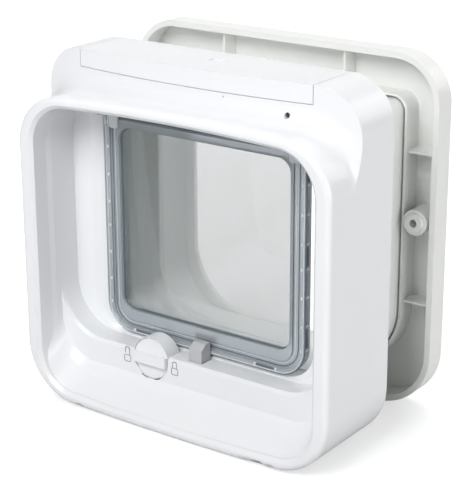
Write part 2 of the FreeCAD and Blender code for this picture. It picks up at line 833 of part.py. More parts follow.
# Rear cover: a plate set in the back of the housing, round the tunnel
cover_plate = prism(
    "cover_plate", "inner_half - fit_gap", "inner_low + fit_gap", "inner_high - fit_gap",
    "plate_depth", "unit_depth", "hood_low_corner - wall", "hump_corner - wall")
duct_hole = prism(
    "duct_hole", "duct_half + fit_gap", "duct_low - fit_gap", "duct_high + fit_gap",
    "plate_depth - over", "unit_depth + over", "duct_low_corner + fit_gap",
    "duct_high_corner + fit_gap")
screw_holes = []
for label, side, height in SCREWS:
    screw_holes.append(rod(
        f"screw_hole_{label}", "Y", "screw_width / 2 + fit_gap", "plate_depth - over",
        "unit_depth + over", x=side, z=height))
    screw_holes.append(rod(
        f"screw_seat_{label}", "Y", "screw_head / 2 + fit_gap", "unit_depth - screw_sink",
        "unit_depth + over", x=side, z=height))
for label, side in (("right", "boss_side"), ("left", "-boss_side")):
    screw_holes.append(rod(
        f"bolt_hole_{label}", "Y", "boss_hole / 2", "plate_depth - over", "unit_depth + over",
        x=side, z="boss_height"))
rear_cover = cut("rear_cover", cover_plate, duct_hole, *screw_holes)

# Screws of the rear cover, one group
screws = []
for label, side, height in SCREWS:
    shank = rod(
        f"shank_{label}", "Y", "screw_width / 2", "unit_depth - screw_length",
        "unit_depth - screw_sink / 2", x=side, z=height)
    head = rod(
        f"head_{label}", "Y", "screw_head / 2", "unit_depth - screw_sink",
        "unit_depth - screw_sink / 8", x=side, z=height)
    screws.append(fuse(f"screw_{label}", shank, head))
cover_screws = group("cover_screws", *screws)

# Tunnel: outer duct with a flange behind the rear cover, and the liner inside it
DUCT_CORNERS = ("duct_low_corner", "duct_high_corner")
duct_skin = prism(
    "duct_skin", "duct_half", "duct_low", "duct_high", "duct_start", "duct_end", *DUCT_CORNERS)
duct_flange = prism(
    "duct_flange", "duct_half + flange_rim", "duct_low - flange_rim", "duct_high",
    "duct_start", "duct_start + flange_plate", *DUCT_CORNERS)
duct_room = prism(
    "duct_room", "duct_half - duct_wall", "duct_low + duct_wall", "duct_high - duct_wall",
    "duct_start - over", "duct_end + over", "duct_low_corner - duct_wall",
    "duct_high_corner - duct_wall")
tunnel_duct = cut("tunnel_duct", fuse("duct_outside", duct_skin, duct_flange), duct_room)

liner_skin = prism(
    "liner_skin", "liner_half + liner_wall", "liner_low - liner_wall", "liner_high + liner_wall",
    "liner_start", "liner_end", "liner_corner + liner_wall", "duct_high_corner - duct_wall")
liner_end_wall = prism(
    "liner_end_wall", "duct_half - duct_wall - fit_gap", "duct_low + duct_wall + fit_gap",
    "duct_high - duct_wall - fit_gap", "liner_end - liner_wall", "liner_end",
    "duct_low_corner - duct_wall", "duct_high_corner - duct_wall - fit_gap")
liner_room = prism(
    "liner_room", "liner_half", "liner_low", "liner_high", "liner_start - over", "liner_end + over",
    "liner_corner", "duct_high_corner - duct_wall - liner_wall")
tunnel_liner = cut(
    "tunnel_liner", fuse("liner_outside", liner_skin, liner_end_wall), liner_room)

# Aerial coils, wound round the liner


def coil_around_liner(name, start):
    """One flat winding of wire round the liner."""
    outside = prism(
        name + "_outside", "liner_half + liner_wall + fit_gap + coil_thick",
        "liner_low - liner_wall - fit_gap - coil_thick",
        "liner_high + liner_wall + fit_gap + coil_thick", start, f"{start} + coil_width",
        "liner_corner + liner_wall + fit_gap + coil_thick", "duct_high_corner - duct_wall")
    inside = prism(
        name + "_inside", "liner_half + liner_wall + fit_gap",
        "liner_low - liner_wall - fit_gap", "liner_high + liner_wall + fit_gap",
        f"{start} - over", f"{start} + coil_width + over", "liner_corner + liner_wall + fit_gap",
        "duct_high_corner - duct_wall")
    return cut(name, outside, inside)


aerial_front = coil_around_liner("aerial_front", "duct_start + flange_plate")
aerial_rear = coil_around_liner(
    "aerial_rear", "liner_end - liner_wall - fit_gap - coil_width")

# Outside frame: a tray that opens towards the door, with a sleeve round the tunnel
FRAME_CORNERS = ("frame_low_corner", "frame_top_corner")
frame_outside = new_body("frame_outside")
frame_sketch = front_sketch(frame_outside, "frame_outline", "frame_front")
rounded_rectangle(frame_sketch, "half_width", "frame_lift", "frame_top", *FRAME_CORNERS)
frame_pad = pad(frame_outside, frame_sketch, "frame_depth")
frame_rear = frame_pad.Shape.BoundBox.YMax
bevel_off(
    frame_outside, frame_pad, lambda edge: edge.BoundBox.YMin > frame_rear - EDGE_TOLERANCE,
    "frame_edge")
frame_room = prism(
    "frame_room", "half_width - frame_wall", "frame_lift + frame_wall",
    "frame_top - frame_wall", "frame_front - over", "plate_face", "frame_low_corner - frame_wall",
    "frame_top_corner - frame_wall")
sleeve_outside = prism(
    "sleeve_outside", "sleeve_half + sleeve_wall", "duct_low - sleeve_gap - sleeve_wall",
    "duct_high + sleeve_gap + sleeve_wall", "frame_front + sleeve_setback", "plate_face",
    "duct_low_corner + sleeve_gap + sleeve_wall", "duct_high_corner + sleeve_gap + sleeve_wall")
sleeve_room = prism(
    "sleeve_room", "sleeve_half", "duct_low - sleeve_gap", "duct_high + sleeve_gap",
    "frame_front - over", "plate_face", "duct_low_corner + sleeve_gap",
    "duct_high_corner + sleeve_gap")
gate = prism(
    "gate", "gate_half", "gate_low", "gate_high", "plate_face - over", "frame_back + over",
    "gate_low_corner", "gate_high_corner")

RIB_RUN = ("frame_front + rib_setback", "plate_face")
SIDE_SPAN = ("duct_half", "half_width - frame_wall / 2")
OTHER_SPAN = ("-half_width + frame_wall / 2", "-duct_half")
ribs = []
for label, height in (("top", "rib_top_height"), ("low", "rib_low_height")):
    for side, span in (("right", SIDE_SPAN), ("left", OTHER_SPAN)):
        ribs.append(block(
            f"rib_{side}_{label}", span, RIB_RUN,
            (f"{height} - rib_wall / 2", f"{height} + rib_wall / 2")))
for label, side in (("right", "rib_side"), ("left", "-rib_side")):
    ribs.append(block(
        f"rib_over_{label}", (f"{side} - rib_wall / 2", f"{side} + rib_wall / 2"), RIB_RUN,
        ("duct_high", "frame_top - frame_wall / 2")))
    ribs.append(block(
        f"rib_under_{label}", (f"{side} - rib_wall / 2", f"{side} + rib_wall / 2"), RIB_RUN,
        ("frame_lift + frame_wall / 2", "duct_low")))
bosses = []
boss_bores = []
for label, side in (("right", "boss_side"), ("left", "-boss_side")):
    bosses.append(rod(
        f"boss_{label}", "Y", "boss_width / 2", "frame_front - boss_reach", "plate_face",
        x=side, z="boss_height"))
    bosses.append(rod(
        f"boss_ring_{label}", "Y", "boss_ring / 2", "frame_front - ring_reach", "plate_face",
        x=side, z="boss_height"))
    boss_bores.append(rod(
        f"boss_bore_{label}", "Y", "boss_hole / 2", "frame_front - ring_reach - over",
        "frame_back + over", x=side, z="boss_height"))
frame_tray = cut("frame_tray", frame_outside, frame_room)
frame_filled = fuse("frame_filled", frame_tray, sleeve_outside, *ribs, *bosses)
exterior_frame = cut("exterior_frame", frame_filled, sleeve_room, gate, *boss_bores)

# Flap: a border with a stepped groove, a clear pane, pins and a magnet
border_bar = prism(
    "border_bar", "flap_half", "flap_low", "flap_high", "flap_depth", "flap_back",
    "flap_corner", "flap_top_corner")
pane_window = prism(
    "pane_window", "pane_half", "pane_low", "pane_high", "flap_depth - over", "flap_back + over",
    "pane_corner", "pane_corner")
groove_outside = prism(
    "groove_outside", "flap_half - groove_setin", "flap_low + groove_setin",
    "flap_high - groove_setin", "flap_depth - over", "flap_depth + groove_deep",
    "flap_corner - groove_setin", "flap_top_corner")
groove_inside = prism(
    "groove_inside", "flap_half - groove_setin - groove_width",
    "flap_low + groove_setin + groove_width", "flap_high - groove_setin - groove_width / 2",
    "flap_depth - over", "flap_depth + groove_deep", "flap_corner - groove_setin - groove_width",
    "flap_top_corner")
groove = cut("groove", groove_outside, groove_inside)
magnet_room = block(
    "magnet_room", ("-magnet_length / 2", "magnet_length / 2"),
    ("flap_back - magnet_thick", "flap_back + over"),
    ("flap_low + magnet_thick", "flap_low + 3 * magnet_thick"))
pin_bore = rod(
    "pin_bore", "X", "hinge_pin / 2", "-flap_half - over", "flap_half + over", y="hinge_depth",
    z="hinge_height")
flap_frame = cut("flap_frame", border_bar, pane_window, groove, magnet_room, pin_bore)
flap_window = prism(
    "flap_window", "pane_half", "pane_low", "pane_high", "pane_depth",
    "pane_depth + pane_thick", "pane_corner", "pane_corner")
hinge_pin_right = rod(
    "hinge_pin_right", "X", "hinge_pin / 2", "pane_half + fit_gap", "pass_half + wall / 2",
    y="hinge_depth", z="hinge_height")
hinge_pin_left = rod(
    "hinge_pin_left", "X", "hinge_pin / 2", "-pass_half - wall / 2", "-pane_half - fit_gap",
    y="hinge_depth", z="hinge_height")
flap_magnet = block(
    "flap_magnet", ("-magnet_length / 2", "magnet_length / 2"),
    ("flap_back - magnet_thick", "flap_back"),
    ("flap_low + magnet_thick", "flap_low + 3 * magnet_thick"))

# Batteries in two rows of two, in a tray under the cover
tray_outside = block(
    "tray_outside", ("-tray_half", "tray_half"), ("tray_depth", "plate_depth - fit_gap"),
    ("tray_floor", "cell_height"))
tray_room_right = block(
    "tray_room_right", ("tray_divider / 2", "tray_half - tray_wall"),
    ("tray_depth + tray_wall", "plate_depth - fit_gap - tray_wall"),
    ("tray_floor + tray_wall", "unit_height"))
tray_room_left = block(
    "tray_room_left", ("-tray_half + tray_wall", "-tray_divider / 2"),
    ("tray_depth + tray_wall", "plate_depth - fit_gap - tray_wall"),
    ("tray_floor + tray_wall", "unit_height"))
battery_tray = cut("battery_tray", tray_outside, tray_room_right, tray_room_left)
CELL_ROWS = (
    "tray_depth + tray_wall + fit_gap / 2 + cell_width / 2",
    "plate_depth - fit_gap - tray_wall - fit_gap / 2 - cell_width / 2",
)
CELL_STARTS = (
    "tray_divider / 2 + contact_space", "-tray_divider / 2 - contact_space - cell_length")
batteries = []
springs = []
plates = []
for row, depth in enumerate(CELL_ROWS):
    for column, start in enumerate(CELL_STARTS):
        number = 2 * row + column + 1
        batteries.append(rod(
            f"battery_{number}", "X", "cell_width / 2", start,
            f"{start} + cell_length - nub_length", y=depth, z="cell_height"))
        leaf = block(
            f"leaf_{number}", (f"{start} - contact_space", f"{start} - contact_space + leaf_thick"),
            (f"{depth} - cell_nub", f"{depth} + cell_nub"),
            ("cell_height - cell_nub", "cell_height + cell_nub / 2"))
        tongue = block(
            f"tongue_{number}", (f"{start} - contact_space", f"{start} - fit_gap"),
            (f"{depth} - cell_nub / 2", f"{depth} + cell_nub / 2"),
            ("cell_height - leaf_thick", "cell_height"))
        springs.append(fuse(f"contact_spring_{number}", leaf, tongue))
        plates.append(block(
            f"contact_plate_{number}",
            (f"{start} + cell_length", f"{start} + cell_length + contact_space"),
            (f"{depth} - cell_nub", f"{depth} + cell_nub"),
            ("cell_height - cell_nub", "cell_height + cell_nub / 2")))
contact_springs = group("contact_springs", *springs)
contact_plates = group("contact_plates", *plates)

# Control board in the hump, with the lamp behind its lens and the learning button
circuit_board = block(
    "circuit_board", ("board_start", "board_start + board_length"),
    ("board_depth", "board_depth + board_width"),
    ("board_height", "board_height + board_thick"))
chip = block(
    "chip", ("board_end - chip_inset - chip_length", "board_end - chip_inset"),
    ("board_depth + lamp_seat + fit_gap", "board_depth + lamp_seat + fit_gap + chip_width"),
    ("board_height + board_thick", "board_height + 2 * board_thick"))
relay = block(
    "relay",
    ("board_end - relay_inset - relay_length", "board_end - relay_inset"),
    ("button_depth + relay_inset * 2", "button_depth + relay_inset * 2 + relay_width"),
    ("board_height + board_thick", "board_height + board_thick + relay_height"))
board_components = group("board_components", chip, relay)
indicator_lamp = rod(
    "indicator_lamp", "Y", "lamp_width / 2", "lamp_face + lens_thick + fit_gap",
    "board_depth + lamp_seat",
    x="lamp_side", z="lamp_height")
indicator_lens = rod(
    "indicator_lens", "Y", "lamp_width / 2", "lamp_face", "lamp_face + lens_thick",
    x="lamp_side", z="lamp_height")
button_block = block(
    "button_block",
    ("button_side - button_width / 2 - button_wall", "button_side + button_width / 2 + button_wall"),
    ("button_depth - button_width / 2 - button_wall",
     "button_depth + button_width / 2 + button_wall"),
    ("board_height + board_thick", "board_height + board_thick + button_base"))
button_well = rod(
    "button_well", "Z", "button_width / 2 + hinge_play", "button_low",
    "button_low + button_base", x="button_side", y="button_depth")
button_socket = cut("button_socket", button_block, button_well)
learn_button = rod(
    "learn_button", "Z", "button_width / 2", "button_low + button_travel + fit_gap",
    "board_height + board_thick + button_reach", x="button_side", y="button_depth")

# Latches: tab, stem and core move together through a fixed solenoid


def solenoid(name, depth):
    """A solenoid's frame and winding with a bore for its core."""
    body = block(
        name + "_body",
        ("latch_side - solenoid_width / 2", "latch_side + solenoid_width / 2"),
        (f"{depth} - solenoid_thick / 2", f"{depth} + solenoid_thick / 2"),
        ("inner_low", "inner_low + solenoid_height"))
    bore = rod(
        name + "_bore", "Z", "core_width / 2 + core_play", "inner_low + over",
        "inner_low + solenoid_height + over", x="latch_side", y=depth)
    return cut(name, body, bore)


def latch_core(name, depth, low, high):
    """The round core and the thin stem that carries the latch tab."""
    core_bar = rod(
        name + "_core", "Z", "core_width / 2", low, f"{low} + core_length",
        x="latch_side", y=depth)
    stem = rod(
        name + "_stem", "Z", "stem_width / 2", f"{low} + core_length - over", high,
        x="latch_side", y=depth)
    return core_bar, stem


inside_solenoid = solenoid("inside_solenoid", "inside_core_depth")
outside_solenoid = solenoid("outside_solenoid", "outside_core_depth")

tab_block = block(
    "tab_block", ("latch_side - latch_width / 2", "latch_side + latch_width / 2"),
    ("latch_depth", "latch_depth + latch_thick"), ("latch_foot", "latch_rise + latch_slope"))
tab_slope = doc.addObject("Part::Wedge", "tab_slope")
tab_slope.Placement = FreeCAD.Placement(FreeCAD.Vector(), FreeCAD.Rotation())
bind(
    tab_slope, Xmin="0", Xmax="latch_width + 2 * over", X2min="0",
    X2max="latch_width + 2 * over", Ymin="0", Ymax="latch_thick / 2", Zmin="0",
    Zmax="latch_slope + over", Z2min="latch_slope", Z2max="latch_slope + over",
    Placement__Base__x="latch_side - latch_width / 2 - over",
    Placement__Base__y="front_y + latch_depth", Placement__Base__z="latch_rise")
inside_tab = cut("inside_tab", tab_block, tab_slope)
inside_latch = fuse(
    "inside_latch", inside_tab,
    *latch_core(
        "inside", "inside_core_depth", "inner_low + over + latch_travel + fit_gap",
        "latch_foot + over"))

outside_tab = block(
    "outside_tab", ("latch_side - latch_width / 2", "latch_side + latch_width / 2"),
    ("catch_depth", "catch_depth + catch_thick"),
    ("catch_top - latch_slope * 2", "catch_top"))
outside_latch = fuse(
    "outside_latch", outside_tab,
    *latch_core(
        "outside", "outside_core_depth", "inner_low + over + fit_gap",
        "catch_top - latch_slope"))

# Rotary lock: knob with a grip bar, shaft and cam
knob_disc = rod(
    "knob_disc", "Y", "knob_width / 2", "knob_front", "knob_back", x="knob_side",
    z="knob_height")
knob_bar = block(
    "knob_bar", ("knob_side - bar_length / 2", "knob_side + bar_length / 2"),
    ("knob_front - bar_reach", "knob_front"),
    ("knob_height - bar_width / 2", "knob_height + bar_width / 2"))
knob_shaft = rod(
    "knob_shaft", "Y", "shaft_width / 2", "knob_back", "cam_start", x="knob_side",
    z="knob_height")
lock_knob = fuse("lock_knob", knob_disc, knob_bar, knob_shaft)
lock_cam = rod(
    "lock_cam", "Y", "cam_width / 2", "cam_start", "cam_start + cam_thick", x="knob_side",
    z="knob_height")

# Finished pieces, each written as its own file
PIECES = [
    front_housing, battery_cover, rear_cover, cover_screws, tunnel_duct, tunnel_liner,
    aerial_front, aerial_rear, exterior_frame, flap_frame, flap_window, hinge_pin_left,
    hinge_pin_right, flap_magnet, battery_tray, *batteries, contact_springs, contact_plates,
    circuit_board, board_components, indicator_lamp, indicator_lens, button_socket,
    learn_button, inside_solenoid, outside_solenoid, inside_latch, outside_latch, lock_knob,
    lock_cam,
]

doc.recompute()
for item in doc.Objects:
    if "Invalid" in item.State or "Error" in item.State:
        raise RuntimeError(f"{item.Name} failed: {item.State}")
os.makedirs("parts", exist_ok=True)
for piece in PIECES:
    shape = piece.Shape
    if shape.isNull() or not shape.isValid():
        raise RuntimeError(f"{piece.Label} has no valid shape")
    print(piece.Label, len(shape.Solids), round(shape.Volume, 1))
    shape.exportStep(f"parts/{piece.Label}.step")
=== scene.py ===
# %% [markdown]
# # A cat flap, dressed for a studio picture
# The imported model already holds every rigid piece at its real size: the hooded
# housing, the flap, the tunnel and the outside frame. This script gives each
# piece its finish, adds the small moulded details, and sets up a studio.
# Everything is in metres, in the same frame as the model.

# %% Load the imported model
import json
import math
import bpy
import bmesh
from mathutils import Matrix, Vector


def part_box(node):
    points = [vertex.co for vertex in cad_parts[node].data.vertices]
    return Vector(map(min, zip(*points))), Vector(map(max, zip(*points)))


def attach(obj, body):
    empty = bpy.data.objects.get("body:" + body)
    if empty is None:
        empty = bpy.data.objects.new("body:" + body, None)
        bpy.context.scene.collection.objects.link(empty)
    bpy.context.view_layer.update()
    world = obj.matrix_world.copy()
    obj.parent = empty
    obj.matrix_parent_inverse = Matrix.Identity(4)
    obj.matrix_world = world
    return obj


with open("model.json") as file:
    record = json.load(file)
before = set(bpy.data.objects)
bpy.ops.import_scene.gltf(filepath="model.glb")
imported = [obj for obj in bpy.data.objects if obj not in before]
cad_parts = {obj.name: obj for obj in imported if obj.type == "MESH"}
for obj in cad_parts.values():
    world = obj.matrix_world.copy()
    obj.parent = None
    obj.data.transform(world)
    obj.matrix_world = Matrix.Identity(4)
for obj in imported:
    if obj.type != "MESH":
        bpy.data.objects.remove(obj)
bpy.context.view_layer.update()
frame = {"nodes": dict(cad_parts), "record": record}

MM = 0.001

# %% [markdown]
# ## Camera
# The view was matched to the picture: the eye stands to the right of the flap
# and a little above it, and looks down through a long lens, so the hood's
# sides stay almost parallel. A camera looks along its own -Z, so two angles
# and a small roll place it.

# %% Camera
CAMERA_EYE = Vector((0.4995, -0.6921, 0.3947))
CAMERA_AZIMUTH = math.radians(35.62)
CAMERA_ELEVATION = math.radians(19.01)
CAMERA_ROLL = math.radians(0.13)
CAMERA_LENS = 118.15

camera_data = bpy.data.cameras.new("photo_camera")
camera_data.lens = CAMERA_LENS
camera_data.sensor_width = 36
camera_data.clip_start = 0.01
camera = bpy.data.objects.new("photo_camera", camera_data)
camera.location = CAMERA_EYE
camera.rotation_euler = (math.radians(90) - CAMERA_ELEVATION, CAMERA_ROLL, CAMERA_AZIMUTH)
bpy.context.collection.objects.link(camera)
bpy.context.scene.camera = camera
print("camera at", tuple(round(value, 3) for value in camera.location))

# %% [markdown]
# ## Studio
# White goods are pictured on a pale sheet that runs up into a wall. The broad
# key lamp stands high in front, so the hood shades the top of its own recess
# and the ramp below it stays bright. A lamp overhead lights the hump, one at
# the right opens the side and the tray, and two weak fills soften what the key
# lamp leaves dark in front and behind. The last lamp is aimed at the wall. The
# sheet is a little overexposed for the camera alone, as in a studio where the
# paper has lamps of its own.

# %% Paper and floor
FLOOR_FRONT, FLOOR_BACK, FLOOR_HALF_WIDTH = -1.65, 3.0, 2.1
WALL_BEND, WALL_TOP, BEND_STEPS = 0.8, 2.5, 12
PAPER_TONE = (0.59, 0.595, 0.6, 1)
PAPER_ROUGHNESS = 0.95
PAPER_LIFT = 0.51


def studio_paper():
    """Matt paper, lifted towards white where the camera looks straight at it."""
    material = bpy.data.materials.new("studio_paper")
    material.use_nodes = True
    nodes, links = material.node_tree.nodes, material.node_tree.links
    shader = nodes["Principled BSDF"]
    shader.inputs["Base Color"].default_value = PAPER_TONE
    shader.inputs["Roughness"].default_value = PAPER_ROUGHNESS
    shader.inputs["Emission Color"].default_value = (1, 1, 1, 1)
    ray = nodes.new("ShaderNodeLightPath")
    lift = nodes.new("ShaderNodeMath")
    lift.operation = "MULTIPLY"
    lift.inputs[1].default_value = PAPER_LIFT
    links.new(ray.outputs["Is Camera Ray"], lift.inputs[0])
    links.new(lift.outputs[0], shader.inputs["Emission Strength"])
    return material


def studio_floor():
    """A pale sheet that lies under the object and curves up far behind it."""
    bend_start = FLOOR_BACK - WALL_BEND
    profile = [(FLOOR_FRONT, 0.0), (bend_start, 0.0)]
    for step in range(1, BEND_STEPS + 1):
        angle = step / BEND_STEPS * math.pi / 2
        profile.append((bend_start + WALL_BEND * math.sin(angle),
                        WALL_BEND - WALL_BEND * math.cos(angle)))
    profile.append((FLOOR_BACK, WALL_TOP))
    mesh = bpy.data.meshes.new("studio_floor")
    points = [(side * FLOOR_HALF_WIDTH, y, z) for y, z in profile for side in (-1, 1)]
    faces = [(2 * i, 2 * i + 1, 2 * i + 3, 2 * i + 2) for i in range(len(profile) - 1)]
    mesh.from_pydata(points, [], faces)
    mesh.materials.append(studio_paper())
    for face in mesh.polygons:
        face.use_smooth = True
    sheet = bpy.data.objects.new("studio_floor", mesh)
    bpy.context.collection.objects.link(sheet)
    return sheet


floor = studio_floor()
floor.rotation_euler.z = CAMERA_AZIMUTH
print("floor faces:", len(floor.data.polygons))

# %% Lamps
OBJECT_MIDDLE = (0, 0, 0.1)
WALL_SPOT = (-1.2, 2.4, 0.3)
WARM_WHITE = (1.0, 0.995, 0.975)


def soft_lamp(name, place, aim, width, power):
    """A square area lamp that looks at a point."""
    data = bpy.data.lights.new(name, "AREA")
    data.energy = power
    data.size = width
    lamp = bpy.data.objects.new(name, data)
    lamp.location = place
    lamp.rotation_euler = (Vector(aim) - Vector(place)).to_track_quat("-Z", "Y").to_euler()
    bpy.context.collection.objects.link(lamp)
    return lamp


soft_lamp("key_lamp", (0.1, -1.34, 1.27), OBJECT_MIDDLE, 0.9, 24)
soft_lamp("overhead_lamp", (-0.25, 0.45, 1.5), OBJECT_MIDDLE, 1.3, 6)
side_lamp = soft_lamp("side_lamp", (1.5, -0.05, 0.4), OBJECT_MIDDLE, 0.9, 9.5)
side_lamp.data.color = WARM_WHITE
soft_lamp("front_fill", (-0.2, -1.6, 0.35), OBJECT_MIDDLE, 0.8, 2.4)
soft_lamp("back_fill", (0.75, 1.5, 0.75), OBJECT_MIDDLE, 0.8, 3.5)
soft_lamp("wall_lamp", (-0.6, 1.0, 1.9), WALL_SPOT, 1.6, 45)

# %% [markdown]
# ## Air
# The world gives a faint, even glow that keeps the shadows from going black.
# For the camera alone it is brighter, so the picture stays white past the
# edge of the sheet. The Standard view shows the tones as they are, because a
# film curve would turn this white plastic grey.

# %% World and view
AIR_GLOW, AIR_LIFT = 0.14, 0.92

world = bpy.data.worlds.new("studio_air")
world.use_nodes = True
air = world.node_tree
background = air.nodes["Background"]
background.inputs["Color"].default_value = (1, 1, 1, 1)
camera_ray = air.nodes.new("ShaderNodeLightPath")
glow = air.nodes.new("ShaderNodeMath")
glow.operation = "MULTIPLY_ADD"
glow.inputs[1].default_value = AIR_LIFT
glow.inputs[2].default_value = AIR_GLOW
air.links.new(camera_ray.outputs["Is Camera Ray"], glow.inputs[0])
air.links.new(glow.outputs[0], background.inputs["Strength"])
bpy.context.scene.world = world
bpy.context.scene.view_settings.view_transform = "Standard"
print("air glow:", AIR_GLOW, "with", AIR_LIFT, "more for the camera")

# %% [markdown]
# ## The skin of a moulding
# Moulded plastic is never one flat colour: the steel mould leaves a very fine
# ripple, the gloss varies a little from place to place, and no edge is quite
# sharp. One shader group makes all three. The mottle and the ripple come from
# the object's own coordinates, so they keep their size on every piece. The
# group hands out a colour, a roughness and a normal.

# %% Shader group for a moulded skin
MOTTLE_SCALE = 28.0
NOISE_MIDDLE = 0.5


def group_socket(tree, name, side, kind, value=None):
    """One named socket on the outside of a node group."""
    socket = tree.interface.new_socket(name=name, in_out=side, socket_type=kind)
    if value is not None:
        socket.default_value = value


def moulded_skin_group():
    """Colour with a faint mottle, roughness with a faint drift, a fine ripple and soft edges."""
    tree = bpy.data.node_groups.new("moulded_skin", "ShaderNodeTree")
    group_socket(tree, "Colour", "INPUT", "NodeSocketColor", (0.8, 0.8, 0.8, 1))
    group_socket(tree, "Mottle", "INPUT", "NodeSocketFloat", 0.02)
    group_socket(tree, "Roughness", "INPUT", "NodeSocketFloat", 0.3)
    group_socket(tree, "Drift", "INPUT", "NodeSocketFloat", 0.06)
    group_socket(tree, "Ripple scale", "INPUT", "NodeSocketFloat", 900.0)
    group_socket(tree, "Ripple height", "INPUT", "NodeSocketFloat", 0.00001)
    group_socket(tree, "Edge radius", "INPUT", "NodeSocketFloat", 0.0005)
    group_socket(tree, "Colour", "OUTPUT", "NodeSocketColor")
    group_socket(tree, "Roughness", "OUTPUT", "NodeSocketFloat")
    group_socket(tree, "Normal", "OUTPUT", "NodeSocketVector")
    nodes, links = tree.nodes, tree.links
    inside = nodes.new("NodeGroupInput")
    outside = nodes.new("NodeGroupOutput")
    place = nodes.new("ShaderNodeTexCoord")

    clouds = nodes.new("ShaderNodeTexNoise")
    clouds.inputs["Scale"].default_value = MOTTLE_SCALE
    clouds.inputs["Detail"].default_value = 4.0
    links.new(place.outputs["Object"], clouds.inputs["Vector"])

    shade = nodes.new("ShaderNodeMath")
    shade.operation = "SUBTRACT"
    links.new(clouds.outputs["Fac"], shade.inputs[0])
    shade.inputs[1].default_value = NOISE_MIDDLE
    amount = nodes.new("ShaderNodeMath")
    amount.operation = "MULTIPLY_ADD"
    links.new(shade.outputs[0], amount.inputs[0])
    links.new(inside.outputs["Mottle"], amount.inputs[1])
    amount.inputs[2].default_value = 1.0
    tint = nodes.new("ShaderNodeVectorMath")
    tint.operation = "SCALE"
    links.new(inside.outputs["Colour"], tint.inputs[0])
    links.new(amount.outputs[0], tint.inputs["Scale"])
    links.new(tint.outputs[0], outside.inputs["Colour"])

    drift = nodes.new("ShaderNodeMath")
    drift.operation = "MULTIPLY_ADD"
    links.new(shade.outputs[0], drift.inputs[0])
    links.new(inside.outputs["Drift"], drift.inputs[1])
    links.new(inside.outputs["Roughness"], drift.inputs[2])
    links.new(drift.outputs[0], outside.inputs["Roughness"])

    ripple = nodes.new("ShaderNodeTexNoise")
    ripple.inputs["Detail"].default_value = 2.0
    links.new(place.outputs["Object"], ripple.inputs["Vector"])
    links.new(inside.outputs["Ripple scale"], ripple.inputs["Scale"])
    edge = nodes.new("ShaderNodeBevel")
    edge.samples = 4
    links.new(inside.outputs["Edge radius"], edge.inputs["Radius"])
    bump = nodes.new("ShaderNodeBump")
    bump.inputs["Strength"].default_value = 1.0
    links.new(edge.outputs["Normal"], bump.inputs["Normal"])
    links.new(ripple.outputs["Fac"], bump.inputs["Height"])
    links.new(inside.outputs["Ripple height"], bump.inputs["Distance"])
    links.new(bump.outputs["Normal"], outside.inputs["Normal"])
    return tree


MOULDED_SKIN = moulded_skin_group()
print("group sockets:", [item.name for item in MOULDED_SKIN.interface.items_tree])

# %% [markdown]
# ## Finishes
# The housing is glossy white, and the outside frame is nearly the same. The
# flap's border is smoky and lets light through, its pane is clear, and the
# latch tab is plain grey. Each finish is one material that wears the moulded
# skin with its own colour and gloss. What is the same all over, such as how
# clear or how metallic it is, is set on the shader itself.

# %% Materials for each kind of piece
PLASTIC_IOR = 1.45


def moulded(name, colour, roughness, mottle=0.02, ripple_scale=900.0, ripple_height=0.00001,
            **shader_values):
    """A material whose surface comes from the moulded skin group."""
    material = bpy.data.materials.new(name)
    material.use_nodes = True
    nodes, links = material.node_tree.nodes, material.node_tree.links
    shader = nodes["Principled BSDF"]
    skin = nodes.new("ShaderNodeGroup")
    skin.node_tree = MOULDED_SKIN
    skin.inputs["Colour"].default_value = (*colour, 1)
    skin.inputs["Roughness"].default_value = roughness
    skin.inputs["Mottle"].default_value = mottle
    skin.inputs["Ripple scale"].default_value = ripple_scale
    skin.inputs["Ripple height"].default_value = ripple_height
    links.new(skin.outputs["Colour"], shader.inputs["Base Color"])
    links.new(skin.outputs["Roughness"], shader.inputs["Roughness"])
    links.new(skin.outputs["Normal"], shader.inputs["Normal"])
    for socket, value in shader_values.items():
        shader.inputs[socket.replace("_", " ")].default_value = value
    return material


